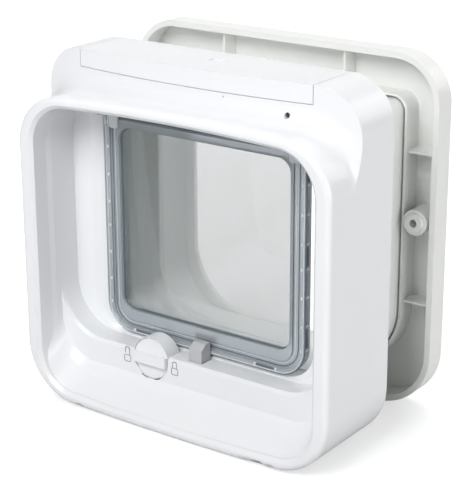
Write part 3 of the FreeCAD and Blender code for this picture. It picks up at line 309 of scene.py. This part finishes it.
FINISHES = {
    "white_gloss": moulded("white_gloss", (0.82, 0.83, 0.85), 0.22),
    "frame_white": moulded("frame_white", (0.82, 0.83, 0.81), 0.3, ripple_height=0.000015),
    "white_satin": moulded("white_satin", (0.80, 0.81, 0.805), 0.42, ripple_height=0.00002),
    "grey_plastic": moulded("grey_plastic", (0.5, 0.51, 0.53), 0.4, mottle=0.06,
                            ripple_scale=1600.0, ripple_height=0.00003),
    "smoke_plastic": moulded("smoke_plastic", (0.62, 0.67, 0.715), 0.14,
                             Transmission_Weight=0.6, IOR=PLASTIC_IOR),
    "smoke_light": moulded("smoke_light", (0.62, 0.66, 0.68), 0.2),
    "smoke_dark": moulded("smoke_dark", (0.11, 0.14, 0.16), 0.25),
    "print_grey": moulded("print_grey", (0.2, 0.2, 0.21), 0.5),
    "clear_plastic": moulded("clear_plastic", (0.84, 0.855, 0.86), 0.03, mottle=0.004,
                             ripple_height=0.000002, Transmission_Weight=1.0,
                             IOR=PLASTIC_IOR, Alpha=0.55),
    "screw_steel": moulded("screw_steel", (0.55, 0.55, 0.57), 0.32, Metallic=1.0),
    "pin_steel": moulded("pin_steel", (0.7, 0.7, 0.71), 0.2, Metallic=1.0),
    "copper_coil": moulded("copper_coil", (0.62, 0.26, 0.12), 0.35, Metallic=1.0),
    "magnet": moulded("magnet", (0.4, 0.4, 0.42), 0.25, Metallic=1.0),
    "cell": moulded("cell", (0.1, 0.11, 0.13), 0.3),
    "contact_nickel": moulded("contact_nickel", (0.7, 0.69, 0.66), 0.25, Metallic=1.0),
    "board_green": moulded("board_green", (0.03, 0.2, 0.08), 0.35),
    "black_plastic": moulded("black_plastic", (0.02, 0.02, 0.022), 0.45),
    "lamp": moulded("lamp", (0.5, 0.06, 0.04), 0.15),
    "dark_lens": moulded("dark_lens", (0.03, 0.03, 0.034), 0.12),
    "button_red": moulded("button_red", (0.5, 0.04, 0.03), 0.35),
    "solenoid": moulded("solenoid", (0.12, 0.12, 0.13), 0.4),
}
print("finishes:", len(FINISHES))

# %% [markdown]
# ## The tunnel's skin, with painted shade and light
# The tunnel is the same plastic from a duller mould. Its inner walls carry
# painted shade: they are coloured darker and a little greener than its outside.
# Its floor carries painted light: it is coloured paler. A mask finds the faces
# that look towards the tunnel's middle line, and a second one those that look
# up. Both come from the object's own coordinates and normal, so the tones stay
# where they are from every side.

# %% Masks for the painted shade and light inside the tunnel
TUNNEL_MIDDLE = (0, 0, 0.105)
ACROSS_TUNNEL = (1, 0, 1)
INWARD_LIMIT = -0.001
UPWARD_GAIN = 1.2


def painted_bore_shading_group():
    """Masks for where shade is painted inside a tunnel piece and where light is painted on what
    faces up in it.
    """
    tree = bpy.data.node_groups.new("painted_bore_shading", "ShaderNodeTree")
    group_socket(tree, "Centre", "INPUT", "NodeSocketVector", (0, 0, 0))
    group_socket(tree, "Mask", "OUTPUT", "NodeSocketFloat")
    group_socket(tree, "Painted light mask", "OUTPUT", "NodeSocketFloat")
    nodes, links = tree.nodes, tree.links
    inside, outside = nodes.new("NodeGroupInput"), nodes.new("NodeGroupOutput")
    place = nodes.new("ShaderNodeTexCoord")
    outward = nodes.new("ShaderNodeVectorMath")
    outward.operation = "SUBTRACT"
    links.new(place.outputs["Object"], outward.inputs[0])
    links.new(inside.outputs["Centre"], outward.inputs[1])
    flat = nodes.new("ShaderNodeVectorMath")
    flat.operation = "MULTIPLY"
    links.new(outward.outputs[0], flat.inputs[0])
    flat.inputs[1].default_value = ACROSS_TUNNEL
    facing = nodes.new("ShaderNodeVectorMath")
    facing.operation = "DOT_PRODUCT"
    links.new(flat.outputs[0], facing.inputs[0])
    links.new(place.outputs["Normal"], facing.inputs[1])
    # Faces that look in towards the middle line: where the shade is painted.
    inward = nodes.new("ShaderNodeMath")
    inward.operation = "LESS_THAN"
    links.new(facing.outputs["Value"], inward.inputs[0])
    inward.inputs[1].default_value = INWARD_LIMIT
    links.new(inward.outputs[0], outside.inputs["Mask"])
    # Faces that look up: where the light is painted.
    parts = nodes.new("ShaderNodeSeparateXYZ")
    links.new(place.outputs["Normal"], parts.inputs[0])
    upward = nodes.new("ShaderNodeMath")
    upward.operation = "MULTIPLY"
    upward.use_clamp = True
    links.new(parts.outputs["Z"], upward.inputs[0])
    upward.inputs[1].default_value = UPWARD_GAIN
    links.new(upward.outputs[0], outside.inputs["Painted light mask"])
    return tree


PAINTED_BORE_SHADING = painted_bore_shading_group()
print("mask sockets:", [item.name for item in PAINTED_BORE_SHADING.interface.items_tree])

# %% Skins with painted shade and light for the duct and the lining
# The Mix node has several sockets of the same name, so these are their places for colours.
MIX_FACTOR, MIX_FIRST, MIX_SECOND, MIX_RESULT = 0, 6, 7, 2


def mixed_colour(nodes, links, factor, first, second):
    """A colour mix whose two sides are plain colours or another node's output."""
    mix = nodes.new("ShaderNodeMix")
    mix.data_type = "RGBA"
    links.new(factor, mix.inputs[MIX_FACTOR])
    for socket, value in ((mix.inputs[MIX_FIRST], first), (mix.inputs[MIX_SECOND], second)):
        if isinstance(value, tuple):
            socket.default_value = (*value, 1)
        else:
            links.new(value, socket)
    return mix.outputs[MIX_RESULT]


def tunnel_skin_with_painted_shade(name, outer, painted_shade_wall, painted_light_floor):
    """A satin skin with painted shade on the tunnel's inner walls, darker and greener, and painted
    light on its floor, paler.
    """
    material = moulded(name, outer, 0.42, ripple_height=0.00002)
    nodes, links = material.node_tree.nodes, material.node_tree.links
    skin = next(node for node in nodes if node.type == "GROUP")
    mask = nodes.new("ShaderNodeGroup")
    mask.node_tree = PAINTED_BORE_SHADING
    mask.inputs["Centre"].default_value = TUNNEL_MIDDLE
    # The inner walls get painted shade, and what faces up in the tunnel gets painted light.
    inner = mixed_colour(nodes, links, mask.outputs["Painted light mask"], painted_shade_wall, painted_light_floor)
    links.new(mixed_colour(nodes, links, mask.outputs["Mask"], outer, inner), skin.inputs["Colour"])
    return material


# The outer colours are the plastic's own; the wall colours are painted shade and the floor colours
# painted light.
FINISHES["duct_skin"] = tunnel_skin_with_painted_shade(
    "duct_skin", outer=(0.83, 0.84, 0.835), painted_shade_wall=(0.48, 0.52, 0.50), painted_light_floor=(0.88, 0.91, 0.90))
FINISHES["lining_painted_shade_skin"] = tunnel_skin_with_painted_shade(
    "lining_painted_shade_skin", outer=(0.68, 0.70, 0.69), painted_shade_wall=(0.37, 0.41, 0.395), painted_light_floor=(0.86, 0.89, 0.88))
print("tunnel skins:", [name for name in FINISHES if name in ("duct_skin", "lining_painted_shade_skin")])

# %% [markdown]
# ## Dressing the model's own pieces
# The record names a finish for each piece of the model. Three pieces take one
# of their own: the lining and the duct have the tunnel's skins with painted
# shade and light, and the outside frame is a white with a little less gloss
# than the housing's.

# %% Finishes onto the model
slot_of = {entry["node"]: entry["material_slot"] for entry in frame["record"]["subparts"]}
finish_of = dict(slot_of, tunnel_liner="lining_painted_shade_skin", tunnel_duct="duct_skin",
                 exterior_frame="frame_white")
for node, cad_object in frame["nodes"].items():
    for slot in cad_object.material_slots:
        slot.material = FINISHES[finish_of[node]]
print("finished nodes:", len(frame["nodes"]))

# %% [markdown]
# ## Two trees for small mouldings
# Most small details here are one of two things: a thin bead that follows a
# line, or a row of low plates with rounded corners. One Geometry Nodes tree
# makes each. A tree is run on a base mesh that holds only the line or the
# points, and its result is kept as a plain mesh.

# %% Helpers that build and run a tree


def tree_socket(tree, name, kind, value=None):
    """One named input of a Geometry Nodes tree."""
    socket = tree.interface.new_socket(name=name, in_out="INPUT", socket_type=kind)
    if value is not None:
        socket.default_value = value


def base_mesh(name, points, closed=None):
    """Bare points, or a line of edges through them, given in millimetres."""
    mesh = bpy.data.meshes.new(name)
    edges = []
    if closed is not None:
        edges = [(i, i + 1) for i in range(len(points) - 1)]
        edges += [(len(points) - 1, 0)] if closed else []
    mesh.from_pydata([Vector(point) * MM for point in points], edges, [])
    return mesh


def run_tree(name, tree, base, values):
    """The tree's result on a base mesh, as a plain mesh."""
    carrier = bpy.data.objects.new(name + "_base", base)
    bpy.context.collection.objects.link(carrier)
    modifier = carrier.modifiers.new(tree.name, "NODES")
    modifier.node_group = tree
    for item in tree.interface.items_tree:
        if item.in_out == "INPUT" and item.name in values:
            modifier[item.identifier] = values[item.name]
    evaluated = carrier.evaluated_get(bpy.context.evaluated_depsgraph_get())
    mesh = bpy.data.meshes.new_from_object(evaluated)
    bpy.data.objects.remove(carrier)
    return mesh


def joined_piece(name, body, meshes):
    """One object from several plain meshes, each in its own finish, riding on a body."""
    shape = bmesh.new()
    whole = bpy.data.meshes.new(name)
    for place, mesh in enumerate(meshes):
        known = len(shape.faces)
        shape.from_mesh(mesh)
        shape.faces.ensure_lookup_table()
        for face in shape.faces[known:]:
            face.material_index = place
        whole.materials.append(next(finish for finish in mesh.materials if finish))
    shape.to_mesh(whole)
    shape.free()
    piece = bpy.data.objects.new(name, whole)
    bpy.context.collection.objects.link(piece)
    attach(piece, body)
    print(name, "has", len(whole.polygons), "faces")


# %% The bead tree
BEAD_SIDES, BEAD_CORNER_STEPS = 8, 6


def bead_tree():
    """A round bead along a line, with the line's corners rounded first."""
    tree = bpy.data.node_groups.new("bead", "GeometryNodeTree")
    tree_socket(tree, "Line", "NodeSocketGeometry")
    tree_socket(tree, "Corner radius", "NodeSocketFloat", 0.002)
    tree_socket(tree, "Bead radius", "NodeSocketFloat", 0.0003)
    tree_socket(tree, "Finish", "NodeSocketMaterial")
    tree.interface.new_socket(name="Bead", in_out="OUTPUT", socket_type="NodeSocketGeometry")
    nodes, links = tree.nodes, tree.links
    inside, outside = nodes.new("NodeGroupInput"), nodes.new("NodeGroupOutput")
    curve = nodes.new("GeometryNodeMeshToCurve")
    fillet = nodes.new("GeometryNodeFilletCurve")
    fillet.mode = "POLY"
    fillet.inputs["Count"].default_value = BEAD_CORNER_STEPS
    fillet.inputs["Limit Radius"].default_value = True
    section = nodes.new("GeometryNodeCurvePrimitiveCircle")
    section.inputs["Resolution"].default_value = BEAD_SIDES
    sweep = nodes.new("GeometryNodeCurveToMesh")
    sweep.inputs["Fill Caps"].default_value = True
    whole = nodes.new("GeometryNodeRealizeInstances")
    paint = nodes.new("GeometryNodeSetMaterial")
    links.new(inside.outputs["Line"], curve.inputs["Mesh"])
    links.new(curve.outputs["Curve"], fillet.inputs["Curve"])
    links.new(inside.outputs["Corner radius"], fillet.inputs["Radius"])
    links.new(fillet.outputs["Curve"], sweep.inputs["Curve"])
    links.new(inside.outputs["Bead radius"], section.inputs["Radius"])
    links.new(section.outputs["Curve"], sweep.inputs["Profile Curve"])
    links.new(sweep.outputs["Mesh"], whole.inputs["Geometry"])
    links.new(whole.outputs["Geometry"], paint.inputs["Geometry"])
    links.new(inside.outputs["Finish"], paint.inputs["Material"])
    links.new(paint.outputs["Geometry"], outside.inputs["Bead"])
    return tree


BEAD = bead_tree()


def bead(name, points, closed, corner, radius, finish):
    """A bead in millimetres along a line of points."""
    return run_tree(name, BEAD, base_mesh(name, points, closed), {
        "Corner radius": corner * MM, "Bead radius": radius * MM, "Finish": FINISHES[finish]})


print("tree:", BEAD.name, "with", len(BEAD.nodes), "nodes")

# %% The plate tree
PLATE_CORNER_STEPS = 3
WELD_DISTANCE = 0.000001


def plate_tree():
    """A low plate with rounded corners at every point of the base."""
    tree = bpy.data.node_groups.new("plates", "GeometryNodeTree")
    tree_socket(tree, "Points", "NodeSocketGeometry")
    tree_socket(tree, "Width", "NodeSocketFloat", 0.002)
    tree_socket(tree, "Height", "NodeSocketFloat", 0.002)
    tree_socket(tree, "Corner radius", "NodeSocketFloat", 0.0005)
    tree_socket(tree, "Thickness", "NodeSocketFloat", 0.0003)
    tree_socket(tree, "Turn", "NodeSocketVector", (0, 0, 0))
    tree_socket(tree, "Finish", "NodeSocketMaterial")
    tree.interface.new_socket(name="Plates", in_out="OUTPUT", socket_type="NodeSocketGeometry")
    nodes, links = tree.nodes, tree.links
    inside, outside = nodes.new("NodeGroupInput"), nodes.new("NodeGroupOutput")
    outline = nodes.new("GeometryNodeCurvePrimitiveQuadrilateral")
    links.new(inside.outputs["Width"], outline.inputs["Width"])
    links.new(inside.outputs["Height"], outline.inputs["Height"])
    fillet = nodes.new("GeometryNodeFilletCurve")
    fillet.mode = "POLY"
    fillet.inputs["Count"].default_value = PLATE_CORNER_STEPS
    fillet.inputs["Limit Radius"].default_value = True
    links.new(outline.outputs["Curve"], fillet.inputs["Curve"])
    links.new(inside.outputs["Corner radius"], fillet.inputs["Radius"])
    fill = nodes.new("GeometryNodeFillCurve")
    fill.mode = "NGONS"
    links.new(fillet.outputs["Curve"], fill.inputs["Curve"])
    raised = nodes.new("GeometryNodeExtrudeMesh")
    raised.mode = "FACES"
    links.new(fill.outputs["Mesh"], raised.inputs["Mesh"])
    links.new(inside.outputs["Thickness"], raised.inputs["Offset Scale"])
    under = nodes.new("GeometryNodeFlipFaces")
    links.new(fill.outputs["Mesh"], under.inputs["Mesh"])
    plate = nodes.new("GeometryNodeJoinGeometry")
    links.new(raised.outputs["Mesh"], plate.inputs["Geometry"])
    links.new(under.outputs["Mesh"], plate.inputs["Geometry"])
    welded = nodes.new("GeometryNodeMergeByDistance")
    welded.inputs["Distance"].default_value = WELD_DISTANCE
    links.new(plate.outputs["Geometry"], welded.inputs["Geometry"])
    spread = nodes.new("GeometryNodeInstanceOnPoints")
    links.new(inside.outputs["Points"], spread.inputs["Points"])
    links.new(welded.outputs["Geometry"], spread.inputs["Instance"])
    links.new(inside.outputs["Turn"], spread.inputs["Rotation"])
    whole = nodes.new("GeometryNodeRealizeInstances")
    links.new(spread.outputs["Instances"], whole.inputs["Geometry"])
    paint = nodes.new("GeometryNodeSetMaterial")
    links.new(whole.outputs["Geometry"], paint.inputs["Geometry"])
    links.new(inside.outputs["Finish"], paint.inputs["Material"])
    links.new(paint.outputs["Geometry"], outside.inputs["Plates"])
    return tree


PLATES = plate_tree()
FACE_FRONT = (math.pi / 2, 0.0, 0.0)
FACE_BACK = (-math.pi / 2, 0.0, 0.0)
FACE_RIGHT = (math.pi / 2, 0.0, math.pi / 2)
FACE_LEFT = (math.pi / 2, 0.0, -math.pi / 2)
FACE_UP = (0.0, 0.0, 0.0)


def plates(name, points, size, corner, thickness, turn, finish):
    """Plates in millimetres at each point, standing off along their own normal."""
    return run_tree(name, PLATES, base_mesh(name, points), {
        "Width": size[0] * MM, "Height": size[1] * MM, "Corner radius": corner * MM,
        "Thickness": thickness * MM, "Turn": turn, "Finish": FINISHES[finish]})


print("tree:", PLATES.name, "with", len(PLATES.nodes), "nodes")

# %% [markdown]
# ## The flap's border
# The smoky border is moulded in steps: a crest along its rim, two fine ridges
# in its channel, and a dark seal round the clear pane. A dark bead just outside
# the rim is painted shade in the gap between the flap and its opening. Beads
# along the border's outline make all of them, each with its own inset and
# depth. Depths and places are in millimetres from here on.

# %% Crest, ridges, pane seal and painted gap shade
FLAP_FRONT = -29.5
CHANNEL_FLOOR = -28.3
SEAL_DEPTH = -27.3
RIM_GAP_SHADE_DEPTH = -28.6
BORDER_SIDE = 68.5
BORDER_TOP_DROP = 1.2
PANE_SIDE, PANE_LOW, PANE_HIGH = 58.7, 55.3, 164.7
flap_low, flap_high = (corner[2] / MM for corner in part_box("flap_frame"))


def border_line(inset, depth):
    """The border's outline, moved in by an inset: down one side, along and up the other."""
    side, low, high = BORDER_SIDE - inset, flap_low + inset, flap_high - BORDER_TOP_DROP
    return [(-side, depth, high), (-side, depth, low), (side, depth, low), (side, depth, high)]


pane_line = [(-PANE_SIDE, SEAL_DEPTH, PANE_LOW), (PANE_SIDE, SEAL_DEPTH, PANE_LOW),
             (PANE_SIDE, SEAL_DEPTH, PANE_HIGH), (-PANE_SIDE, SEAL_DEPTH, PANE_HIGH)]
joined_piece("flap_crest", "flap", [
    bead("crest", border_line(0.5, FLAP_FRONT), False, 16.0, 0.35, "smoke_light")])
joined_piece("flap_channel_ridges", "flap", [
    bead("ridge_a", border_line(4.3, CHANNEL_FLOOR), False, 12.2, 0.3, "smoke_dark"),
    bead("ridge_b", border_line(6.1, CHANNEL_FLOOR), False, 10.4, 0.3, "smoke_light")])
joined_piece("flap_pane_seal", "flap", [
    bead("seal", pane_line, True, 7.7, 0.45, "smoke_dark")])
# A dark bead round the outside of the rim: painted shade in the gap between flap and opening.
joined_piece("flap_rim_gap_shade", "flap", [
    bead("rim_gap_shade", border_line(-0.2, RIM_GAP_SHADE_DEPTH), False, 16.6, 0.4, "smoke_dark")])

# %% [markdown]
# ## Slots in the flap's sides
# The border's side walls carry shallow slots with light ends, where the seal
# strip is clipped in, and two more lie low on its front. Each slot is a thin
# dark plate: painted shade for its hollow. They repeat, so each kind is one
# run of the plate tree over a row of points.

# %% Painted shade of the slots, and their light ends
SLOT_HEIGHTS = (64.7, 112.0, 159.3)
STUD_REACH = 7.2
LONE_STUD_HEIGHTS = (88.4, 135.6)
SIDE_WALL_DEPTH = -26.7
LOW_SLOT_SIDE, LOW_SLOT_RISE, LOW_STUD_REACH = 43, 1.9, 7.0
RIM_STUD_SIDE = 66.8
stud_heights = [z + end for z in SLOT_HEIGHTS for end in (-STUD_REACH, STUD_REACH)]
stud_heights += LONE_STUD_HEIGHTS
slot_shades, studs = [], []
for side, turn in ((-1, FACE_LEFT), (1, FACE_RIGHT)):
    # Dark plates on the side walls: painted shade in the slots.
    slot_shades.append(plates("slot", [(side * BORDER_SIDE, SIDE_WALL_DEPTH, z) for z in SLOT_HEIGHTS],
                        (2.2, 11.0), 0.5, 0.1, turn, "smoke_dark"))
    studs.append(plates("stud", [(side * BORDER_SIDE, SIDE_WALL_DEPTH, z) for z in stud_heights],
                        (3.4, 1.3), 0.5, 0.2, turn, "smoke_light"))
low_slots = [(side * LOW_SLOT_SIDE, FLAP_FRONT, flap_low + LOW_SLOT_RISE) for side in (-1, 1)]
low_studs = [(x + end, y, z) for x, y, z in low_slots for end in (-LOW_STUD_REACH, LOW_STUD_REACH)]
rim_studs = [(side * RIM_STUD_SIDE, FLAP_FRONT, z) for side in (-1, 1) for z in stud_heights]
# Dark plates low on the front: painted shade in the low slots.
slot_shades.append(plates("low_slot_shade", low_slots, (12.0, 1.4), 0.4, 0.12, FACE_FRONT, "smoke_dark"))
studs.append(plates("low_stud", low_studs, (1.6, 1.7), 0.5, 0.25, FACE_FRONT, "smoke_light"))
studs.append(plates("rim_stud", rim_studs, (1.0, 2.0), 0.45, 0.15, FACE_FRONT, "smoke_light"))
joined_piece("flap_slot_shades", "flap", slot_shades)
joined_piece("flap_slot_studs", "flap", studs)

# %% [markdown]
# ## Hinge lugs
# At each top corner the flap hangs from a pale lug that holds the pin, and a
# thin spring wire loops round it and pulls the flap back to the middle. The lug
# is a plate, and the wire is a bead along a U.

# %% Lugs and spring wires
LUG_SIDE, LUG_HEIGHT = 61.8, 168.6
WIRE_INNER, WIRE_OUTER = 65.8, 67.9
WIRE_LOW, WIRE_HIGH = 164.0, 174.0
WIRE_DEPTH = FLAP_FRONT - 0.5
joined_piece("hinge_lugs", "flap", [
    plates("lug", [(side * LUG_SIDE, FLAP_FRONT, LUG_HEIGHT) for side in (-1, 1)],
           (6.4, 9.6), 1.6, 0.9, FACE_FRONT, "smoke_light")])
wires = []
for side in (-1, 1):
    inner, outer = side * WIRE_INNER, side * WIRE_OUTER
    loop = [(inner, WIRE_DEPTH, WIRE_HIGH), (inner, WIRE_DEPTH, WIRE_LOW),
            (outer, WIRE_DEPTH, WIRE_LOW), (outer, WIRE_DEPTH, WIRE_HIGH)]
    wires.append(bead("wire", loop, False, 1.0, 0.45, "pin_steel"))
joined_piece("hinge_spring_wires", "flap", wires)

# %% [markdown]
# ## Signs on the fascia
# Beside the lock knob the fascia has two small signs, an open and a shut
# padlock. Each is two fine beads: a rounded body and a bow above it. The open
# one has a bow whose left end is lifted out of the body.

# %% Padlock signs
FASCIA = -43.5
SIGN_HEIGHT = 33
OPEN_LOCK_X, SHUT_LOCK_X = -44.6, -10
OPEN_LIFT = 1.3
LOCK_HALF_WIDTH, BOW_HALF_WIDTH, LOCK_TALL = 2.3, 1.5, 4


def padlock(name, x, z, bow_lift):
    """A small padlock drawn in two beads, centred on a place of the fascia."""
    left, right, low = x - LOCK_HALF_WIDTH, x + LOCK_HALF_WIDTH, z - LOCK_TALL
    body = [(left, FASCIA, low), (right, FASCIA, low), (right, FASCIA, z), (left, FASCIA, z)]
    left, right, high = x - BOW_HALF_WIDTH, x + BOW_HALF_WIDTH, z + LOCK_TALL + bow_lift
    bow = [(left, FASCIA, z + bow_lift), (left, FASCIA, high),
           (right, FASCIA, high), (right, FASCIA, z)]
    return [bead(name + "_body", body, True, 0.9, 0.2, "print_grey"),
            bead(name + "_bow", bow, False, 1.4, 0.2, "print_grey")]


joined_piece("padlock_signs", "housing",
             padlock("open_lock", OPEN_LOCK_X, SIGN_HEIGHT, OPEN_LIFT)
             + padlock("shut_lock", SHUT_LOCK_X, SIGN_HEIGHT, 0.0))

# %% [markdown]
# ## The dot on the brow
# A tiny moulded dot sits on the hood's brow, left of the lamp's lens. It has
# to lie on a slope, so a ray is cast at the housing from the front. The ray
# finds the place, and the slope there turns the dot.

# %% Brow dot
RAY_START = Vector((0.025, -0.2, 0.197))
BACKWARD = Vector((0, 1, 0))
_, brow, slope, _ = frame["nodes"]["front_housing"].ray_cast(RAY_START, BACKWARD)
lean = slope.to_track_quat("Z", "Y").to_euler()
joined_piece("brow_dot", "housing", [
    plates("dot", [tuple(brow / MM)], (1.1, 1.1), 0.55, 0.05, tuple(lean), "grey_plastic")])
print("brow dot at", brow)

# %% [markdown]
# ## Painted shade in the gap under the knob
# The knob turns in a round well, and the shade in its gap shows as a dark
# crescent below. The crescent is painted shade: a thin dark bead on the well's
# lip, whose middle and radius are read from the knob's box.

# %% Painted shade crescent below the knob
WELL_GAP = 0.45
knob_low, knob_high = (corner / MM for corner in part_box("lock_knob"))
knob_middle = (knob_low + knob_high) / 2
well_radius = (knob_high.x - knob_low.x) / 2 + WELL_GAP
gap_shade_arc = []
for degrees in range(-122, -57, 4):
    angle = math.radians(degrees)
    gap_shade_arc.append((knob_middle.x + well_radius * math.cos(angle), FASCIA,
                     knob_middle.z + well_radius * math.sin(angle)))
# A black bead along the lower lip of the well: painted shade in the knob's gap.
joined_piece("knob_gap_shade", "housing", [
    bead("gap_shade_arc", gap_shade_arc, False, 0.0, 0.26, "black_plastic")])

# %% [markdown]
# ## Under the battery cover
# With the cover lifted off, four cells lie in their tray. Each real cell has a
# sleeve that stops short of its ends and a band near its plus end. They are fine
# beads round the can. The board beside the tray has copper tracks and solder
# pads, which are rows of very low plates.

# %% Bands round the cells
BAND_RADIUS = 6.97
SLEEVE_END, PLUS_BAND = 1.6, 9.0


def ring(x, y, z, radius, count=32):
    """Points of a circle that stands across X."""
    angles = [2 * math.pi * i / count for i in range(count)]
    return [(x, y + radius * math.cos(angle), z + radius * math.sin(angle)) for angle in angles]


bands = []
for number in (1, 2, 3, 4):
    low, high = (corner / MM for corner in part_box(f"battery_{number}"))
    middle = (low + high) / 2
    for x in (low.x + SLEEVE_END, high.x - SLEEVE_END, high.x - PLUS_BAND):
        circle = ring(x, middle.y, middle.z, BAND_RADIUS)
        bands.append(bead("band", circle, True, 0.0, 0.16, "screw_steel"))
joined_piece("cell_bands", "housing", bands)

# %% Board tracks and pads
PAD_START, PAD_STEP, PAD_COUNT = 2.2, 3.1, 5
PAD_ROWS = (-28.6, -24.4, -11.0, -7.4)
TRACK_MIDDLE = 9.5
TRACK_ROWS = (-26.5, -22.9, -12.6, -9.2)
board_low, board_high = (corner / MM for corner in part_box("circuit_board"))
pads = [(board_low.x + PAD_START + PAD_STEP * i, y, board_high.z)
        for i in range(PAD_COUNT) for y in PAD_ROWS]
tracks = [(board_low.x + TRACK_MIDDLE, y, board_high.z) for y in TRACK_ROWS]
joined_piece("board_solder_pads", "housing", [
    plates("pads", pads, (1.1, 1.1), 0.54, 0.05, FACE_UP, "contact_nickel")])
joined_piece("board_tracks", "housing", [
    plates("tracks", tracks, (14.0, 0.35), 0.17, 0.03, FACE_UP, "copper_coil")])

# %% [markdown]
# ## Screw slots behind
# Four screws hold the rear cover. Their heads carry a cross recess, whose shade
# is painted as two low dark bars on each head.

# %% Painted shade in the crosses on the cover screws
SCREW_PLACES = [(89.0, 152.0), (-89.0, 152.0), (60.0, 9.0), (-60.0, 9.0)]
screw_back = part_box("cover_screws")[1].y / MM
cross_shade_places = [(x, screw_back, z) for x, z in SCREW_PLACES]
# Two dark bars on each head: painted shade of the cross recess.
joined_piece("screw_cross_shade", "housing", [
    plates("bar_a", cross_shade_places, (3.0, 0.7), 0.3, 0.02, FACE_BACK, "black_plastic"),
    plates("bar_b", cross_shade_places, (0.7, 3.0), 0.3, 0.02, FACE_BACK, "black_plastic")])
